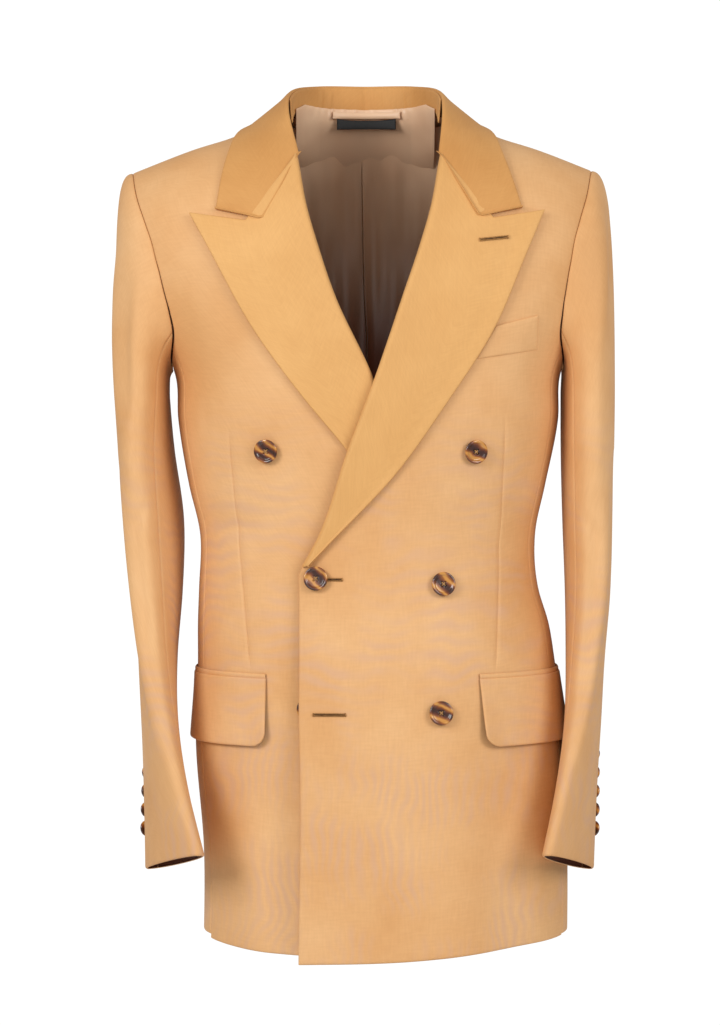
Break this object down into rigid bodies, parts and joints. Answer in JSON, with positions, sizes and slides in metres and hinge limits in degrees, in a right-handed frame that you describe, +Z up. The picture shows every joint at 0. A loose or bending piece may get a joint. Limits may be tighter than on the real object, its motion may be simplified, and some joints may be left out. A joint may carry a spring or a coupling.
{
  "type": "double breasted blazer",
  "caption": "Hollow tailored double breasted blazer with wide peak lapels, flapped pockets, horn buttons and open neck, hem and cuffs, filled out as worn.",
  "frame": {"origin": "middle of the back neck seam, level with the two neck points, where the wearer's neck and shoulders hold the blazer", "axes": "+Z up along the back, the front faces -Y, +X is the wearer's left"},
  "size_m": [0.4582, 0.2543, 0.801],
  "materials": {
    "wool_camel": "fine plain-woven camel wool and mohair cloth, matt with a slight sheen",
    "wool_collar": "the same cloth cut with its grain upright, a little darker",
    "satin_lining": "smooth pale beige satin",
    "horn_button": "polished mottled brown horn",
    "label_black": "plain black woven tape"
  },
  "bodies": {
    "root": {"front_left": "wool_camel", "front_right": "wool_camel", "side_left": "wool_camel", "side_right": "wool_camel", "back_left": "wool_camel", "back_right": "wool_camel", "sleeve_top_left": "wool_camel", "sleeve_top_right": "wool_camel", "sleeve_under_left": "wool_camel", "sleeve_under_right": "wool_camel", "lapel_left": "wool_camel", "lapel_right": "wool_camel", "flap_left": "wool_camel", "flap_right": "wool_camel", "pocket_jet_left": "wool_camel", "pocket_jet_right": "wool_camel", "breast_welt": "wool_camel", "collar_fall": "wool_collar", "collar_stand": "wool_collar", "lining_back_left": "satin_lining", "lining_back_right": "satin_lining", "hanger_loop": "satin_lining", "neck_label": "label_black", "button_top_left": "horn_button", "button_top_right": "horn_button", "button_middle_left": "horn_button", "button_middle_right": "horn_button", "button_low_left": "horn_button", "button_low_right": "horn_button", "cuff_button_left_1": "horn_button", "cuff_button_left_2": "horn_button", "cuff_button_left_3": "horn_button", "cuff_button_left_4": "horn_button", "cuff_button_left_5": "horn_button", "cuff_button_right_1": "horn_button", "cuff_button_right_2": "horn_button", "cuff_button_right_3": "horn_button", "cuff_button_right_4": "horn_button", "cuff_button_right_5": "horn_button"}
  },
  "joints": []
}
